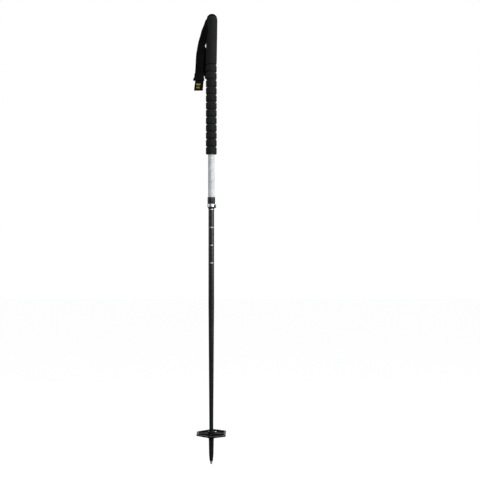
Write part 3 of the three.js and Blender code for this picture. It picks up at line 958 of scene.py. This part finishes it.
def tab_seam():
    """The stitches along the tab's four edges."""
    inset, pitch, run, proud = TAB_SEAM.values()
    low, high, front, _ = TAB.values()
    face = (front - proud) * MM
    seam = []
    for level in (low + 2.4, high - 5.2):
        left, right = tab_sides(level)
        for k in range(int((right - left - 2 * inset) / pitch)):
            start = Vector(((left + inset + pitch * k) * MM, face, up(level)))
            seam.append((start, start + Vector((run * MM, 0, 0))))
    for side, inward in ((0, inset), (1, -inset)):
        for k in range(8):
            start = low + 3.4 + pitch * k
            seam.append([Vector(((tab_sides(level)[side] + inward) * MM, face, up(level)))
                         for level in (start, start + run)])
    return seam


def make_tab():
    low, high, front, back = TAB.values()
    sections = [(low - 0.15, -47.9, -24.6, front + 0.7, back - 0.5),
                (low + 0.15, -48.4, -24, front + 0.2, back - 0.1)]
    for step in range(1, 9):
        height = low + (high - low) * step / 8
        sections.append((height, *tab_sides(height), front, back))
    tab = slanted("strap_tab_end", sections, TAB_WEBBING, CRISP)
    stands_for(tab, "strap_tab", "strap")
    stitching = stitched("tab_stitching", tab_seam(), 0.22 * MM, THREAD)
    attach(stitching, "strap")


def make_label():
    low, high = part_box("strap_label")
    slant = 0.8 * MM
    corners = filleted([(low.x, low.z - slant, 0.6 * MM), (high.x - slant, low.z - slant, 0.6 * MM),
                        (high.x + slant, high.z, 0.6 * MM), (low.x + slant, high.z, 0.6 * MM)], 4)
    label = prism("woven_label", corners, low.y, high.y + 0.3 * MM, LABEL)
    turn_to(label, Matrix(((1, 0, 0, 0), (0, 0, 1, 0), (0, 1, 0, 0), (0, 0, 0, 1))))
    soften(label, 0.12 * MM)
    stands_for(label, "strap_label", "strap")


make_wrist_band()
make_webbing()
make_keeper()
make_tab()
make_label()


# ---------------- tubes

def make_tubes():
    low, high, radius = extent("upper_tube")
    bore = radius - 0.85 * MM
    upper = turned("white_upper_tube", [
        (bore, low, 0), (radius, low, 0.2 * MM), (radius, high, 0), (bore, high, 0)], WHITE_TUBE)
    stands_for(upper, "upper_tube", "upper_section")
    low, high, radius = extent("lower_tube")
    wall = 0.9 * MM
    narrow = 5.3 * MM
    taper_top = up(450)
    lower = turned("black_lower_tube", [
        (narrow - wall, low, 0), (narrow, low, 0), (radius, taper_top, 60 * MM),
        (radius, high, 0.2 * MM), (radius - wall, high, 0), (radius - wall, taper_top, 60 * MM)],
        BLACK_TUBE)
    stands_for(lower, "lower_tube", "lower_section")


make_tubes()


# ---------------- lock

def centre_of(node):
    low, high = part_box(node)
    return [(a + b) / 2 for a, b in zip(low, high)]


LOCK_MIDDLE = centre_of("clamp_band")[2]
SCREW_X = centre_of("tension_screw")[0]
PIVOT_Y = centre_of("lever_barrel")[1]
EAR_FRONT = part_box("clamp_band")[1].x
EAR_SIDE = 7 * MM
SLIT = 1.4 * MM


def sector(name, inner, outer, start, end, bottom, top, material):
    """Part of a ring, between two angles in degrees from +X."""
    outline = arc((0, 0), outer, start, end, 16) + arc((0, 0), inner, end, start, 16)
    return prism(name, outline, bottom, top, material)


def make_collar():
    low, high, radius = extent("lock_collar")
    bore = extent("upper_tube")[2] + 0.1 * MM
    collar = turned("lock_collar_shell", [
        (bore, low, 0), (radius, low, 0.3 * MM), (radius, high, 1.4 * MM), (bore, high, 0.3 * MM)],
        LOCK_PLASTIC, 120)
    ribs = [sector("rib", radius - 1 * MM, radius + 0.3 * MM, -60, -4, low + (2 + 2.6 * k) * MM,
                   low + (3.5 + 2.6 * k) * MM, LOCK_PLASTIC) for k in range(6)]
    bead_at = arc((0, 0), radius - 0.1 * MM, -70, -70)[0]
    bead = prism("bead", arc(bead_at, 0.55 * MM, 0, 337.5, 15), low + 0.6 * MM, high - 1.2 * MM,
                 LOCK_PLASTIC)
    combine(collar, "UNION", bead, *ribs)
    grooves = [sector("groove", radius - 0.6 * MM, radius + 2 * MM, start, start + 7, low - MM,
                      high + MM, LOCK_PLASTIC) for start in (-67, 5)]
    combine(collar, "DIFFERENCE", *grooves)
    soften(collar, 0.22 * MM)
    stands_for(collar, "lock_collar", "upper_section")


def make_bushing():
    low, high, radius = extent("lock_bushing")
    bore = 8.15 * MM
    bushing = turned("lock_bushing_ring", [
        (bore, low, 0.2 * MM), (radius - 0.1 * MM, low, 0.5 * MM), (radius, low + 1.4 * MM, 0.2 * MM),
        (radius, high, 0), (bore, high, 0)], LOCK_PLASTIC, 96)
    combine(bushing, "DIFFERENCE",
            block("slit", (4 * MM, -SLIT, low - MM), (12 * MM, SLIT, high + MM), LOCK_PLASTIC))
    soften(bushing, 0.12 * MM)
    stands_for(bushing, "lock_bushing", "upper_section")


def make_clamp_band():
    low, high, _ = extent("clamp_band")
    radius = 11 * MM
    bore = 9.45 * MM
    belly = 3.2 * MM
    ring = turned("clamp_band_ring", [
        (bore, low, 0), (radius - 0.75 * MM, low, 0.3 * MM), (radius, LOCK_MIDDLE - belly, 1.6 * MM),
        (radius, LOCK_MIDDLE + belly, 1.6 * MM), (radius - 0.75 * MM, high, 0.3 * MM), (bore, high, 0)],
        POLISHED, 128, 6)
    eye = (high - low) / 2 - 1.1 * MM
    lug = cross_rod("lug", eye, EAR_FRONT - eye, LOCK_MIDDLE, -EAR_SIDE, EAR_SIDE, POLISHED, 64)
    root = block("root", (4 * MM, -EAR_SIDE, LOCK_MIDDLE - eye),
                 (EAR_FRONT - eye, EAR_SIDE, LOCK_MIDDLE + eye), POLISHED)
    combine(ring, "UNION", root, lug)
    hole = cross_rod("hole", 1.5 * MM, SCREW_X, LOCK_MIDDLE, -20 * MM, 20 * MM, POLISHED)
    combine(ring, "DIFFERENCE",
            rod("bore", bore, low - MM, high + MM, POLISHED, 128),
            block("slit", (5 * MM, -SLIT, low - MM), (20 * MM, SLIT, high + MM), POLISHED), hole)
    soften(ring, 0.28 * MM)
    stands_for(ring, "clamp_band", "upper_section")


def make_tension_screw():
    """A cap screw with a hexagon socket."""
    low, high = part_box("tension_screw")
    head_radius = 2.4 * MM
    under = -EAR_SIDE - 0.3 * MM
    screw = cross_rod("cap_screw", 1.2 * MM, SCREW_X, LOCK_MIDDLE, under - 0.5 * MM, high.y, BLACK_STEEL)
    head = turned("head", [(0, low.y, 0), (head_radius, low.y, 0.45 * MM), (head_radius, under, 0.1 * MM),
                           (0, under, 0)], BLACK_STEEL, 48)
    combine(screw, "UNION", laid_on_y(head, SCREW_X, LOCK_MIDDLE))
    socket = cross_rod("socket", 1.3 * MM, SCREW_X, LOCK_MIDDLE, low.y - MM, low.y + 1.2 * MM,
                       BLACK_STEEL, 6)
    combine(screw, "DIFFERENCE", socket)
    soften(screw, 0.1 * MM)
    stands_for(screw, "tension_screw", "tension_screw")


def make_lever():
    """A curved arm round the back of the band, its cam lobe on the barrel and a slot for the screw."""
    low, high, _ = extent("lock_lever")
    inner, outer, lobe, end = 11.35 * MM, 13.4 * MM, 2.9 * MM, 138
    tip = outer + 0.7 * MM
    outline = (arc((0, 0), inner, end, 68, 40) + arc((SCREW_X, PIVOT_Y - 0.3 * MM), lobe, 215, 460, 32)
               + arc((0, 0), outer, 76, end - 6, 32) + arc((0, 0), tip, end, end)[:1])
    lever = prism("lever_arm", outline, low, high, POLISHED)
    bore = rod("bore", 2.15 * MM, low - MM, high + MM, POLISHED, 48)
    fork = rod("fork", lobe + 0.6 * MM, LOCK_MIDDLE - 2.1 * MM, LOCK_MIDDLE + 2.1 * MM, POLISHED, 48)
    move = Matrix.Translation((SCREW_X, PIVOT_Y, 0))
    combine(lever, "DIFFERENCE", turn_to(bore, move), turn_to(fork, move))
    soften(lever, 0.3 * MM, 3)
    stands_for(lever, "lock_lever", "lock_lever")


make_collar()
make_bushing()
make_clamp_band()
make_tension_screw()
make_lever()


# ---------------- basket and tip

BASKET_CORNERS = [(41, 27), (1.5, 46.5), (-41, 18.5), (-41, -18.5), (1.5, -46.5), (41, -27)]
BASKET_HALF = 41
BASKET_WINDOW = (9.8, 21.5, 13.4, 32.5)      # left, front, right, back
BASKET_BARS = [(37, 2.2), (2.2, 41)]         # half their lengths along X and Y
HUB_RADIUS = 9.5 * MM
HUB_BORE = 6.8 * MM


def basket_loop(inset, z, corner=4.5):
    """The basket's six-sided outline at height z, drawn in by inset and rounded, in metres."""
    share = 1 - inset / BASKET_HALF
    rounded = filleted([(x * share * MM, y * share * MM, corner * MM) for x, y in BASKET_CORNERS], 7)
    return [Vector((point.x, point.y, z)) for point in rounded]


def make_basket():
    low, high, _ = extent("basket")
    bottom, top, floor = up(83.5), up(87), up(84.7)
    basket = loft("pole_basket", [
        basket_loop(0.7, bottom), basket_loop(0.2, bottom + 0.4 * MM), basket_loop(0, top - 0.5 * MM),
        basket_loop(0.12, top - 0.2 * MM), basket_loop(0.45, top), basket_loop(4.9, top),
        basket_loop(5.4, top - 0.3 * MM), basket_loop(5.9, floor + 0.4 * MM), basket_loop(6.5, floor)],
        BASKET_PLASTIC)
    bars = [block("bar", (-x * MM, -y * MM, bottom + 0.4 * MM), (x * MM, y * MM, top - 0.25 * MM),
                  BASKET_PLASTIC) for x, y in BASKET_BARS]
    hub = turned("hub", [
        (0, low, 0), (HUB_BORE + 0.9 * MM, low, 0.4 * MM),
        (HUB_RADIUS + 3.6 * MM, bottom + 0.2 * MM, 2 * MM),
        (HUB_RADIUS + 1.4 * MM, top - 0.2 * MM, 1.6 * MM), (HUB_RADIUS, top + 1 * MM, 1.4 * MM),
        (HUB_RADIUS, high, 0.8 * MM), (0, high, 0)], BASKET_PLASTIC, 96)
    combine(basket, "UNION", *bars, hub)
    left, front, right, back = (value * MM for value in BASKET_WINDOW)
    combine(basket, "DIFFERENCE",
            block("window", (left, front, bottom - MM), (right, back, top + MM), BASKET_PLASTIC),
            rod("bore", HUB_BORE, low - MM, high + MM, BASKET_PLASTIC))
    soften(basket, 0.3 * MM, angle=40)
    stands_for(basket, "basket", "basket")


def make_ferrule():
    low, high, _ = extent("tip_ferrule")
    flange, neck = 7.9 * MM, 6.5 * MM
    shoulder = extent("basket")[0] - 0.3 * MM
    tube_bore = 5.9 * MM
    stem_bore = 3.2 * MM
    tube_end = extent("lower_tube")[0]
    ferrule = turned("tip_ferrule_body", [
        (stem_bore, low, 0), (4.1 * MM, low, 0.3 * MM), (5.1 * MM, up(14), 2 * MM),
        (6.3 * MM, up(27), 6 * MM), (6.7 * MM, up(47), 8 * MM), (7.05 * MM, up(67), 5 * MM),
        (flange - 0.2 * MM, up(73.6), 1.2 * MM), (flange, shoulder, 0.5 * MM), (neck, shoulder, 0.2 * MM),
        (neck, high, 0.5 * MM), (tube_bore, high, 0), (tube_bore, tube_end - 0.3 * MM, 0),
        (stem_bore, tube_end - 3 * MM, 0)], FERRULE_PLASTIC, 96)
    stands_for(ferrule, "tip_ferrule", "lower_section")


def make_tip():
    low, high, _ = extent("tip_holder")
    bore, stem, widest = 2.15 * MM, 3 * MM, 4 * MM
    collar_top = up(8.4)
    holder = turned("tip_holder_body", [
        (bore, low, 0), (2.5 * MM, low, 0.2 * MM), (2.9 * MM, up(3.8), 1 * MM),
        (3.5 * MM, up(5.8), 0.8 * MM), (widest, up(6.8), 0.3 * MM), (widest, collar_top, 0.25 * MM),
        (stem, collar_top, 0), (stem, high, 0), (bore, high, 0)], STEEL, 64)
    stands_for(holder, "tip_holder", "lower_section")
    low, high, _ = extent("tip_insert")
    radius = 2 * MM
    insert = turned("tip_insert_crown", [
        (0, low + 0.7 * MM, 0), (radius - 0.75 * MM, low, 0.15 * MM), (radius - 0.45 * MM, low, 0.15 * MM),
        (radius, low + 1 * MM, 0.3 * MM), (radius, high, 0), (0, high, 0)], CARBIDE, 48)
    stands_for(insert, "tip_insert", "lower_section")


make_basket()
make_ferrule()
make_tip()


# ---------------- pieces shown as they are in the CAD

CARRIED = {"grip_head": HEAD_PLASTIC, "strap_pin": STEEL, "strap_anchor": WEBBING, "cam_pad": LOCK_PLASTIC,
           "lever_barrel": STEEL, "guide_plug": LOCK_PLASTIC}


def finish_carried():
    """Rounds the edges of the CAD pieces inside the pole and gives them their finish."""
    for node, material in CARRIED.items():
        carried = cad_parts[node]
        carried.data.materials.clear()
        carried.data.materials.append(material)
        bevel = carried.modifiers.new("edge", "BEVEL")
        bevel.width = 0.2 * MM
        bevel.segments = 2
        bevel.limit_method = "ANGLE"
        bevel.angle_limit = math.radians(40)


finish_carried()
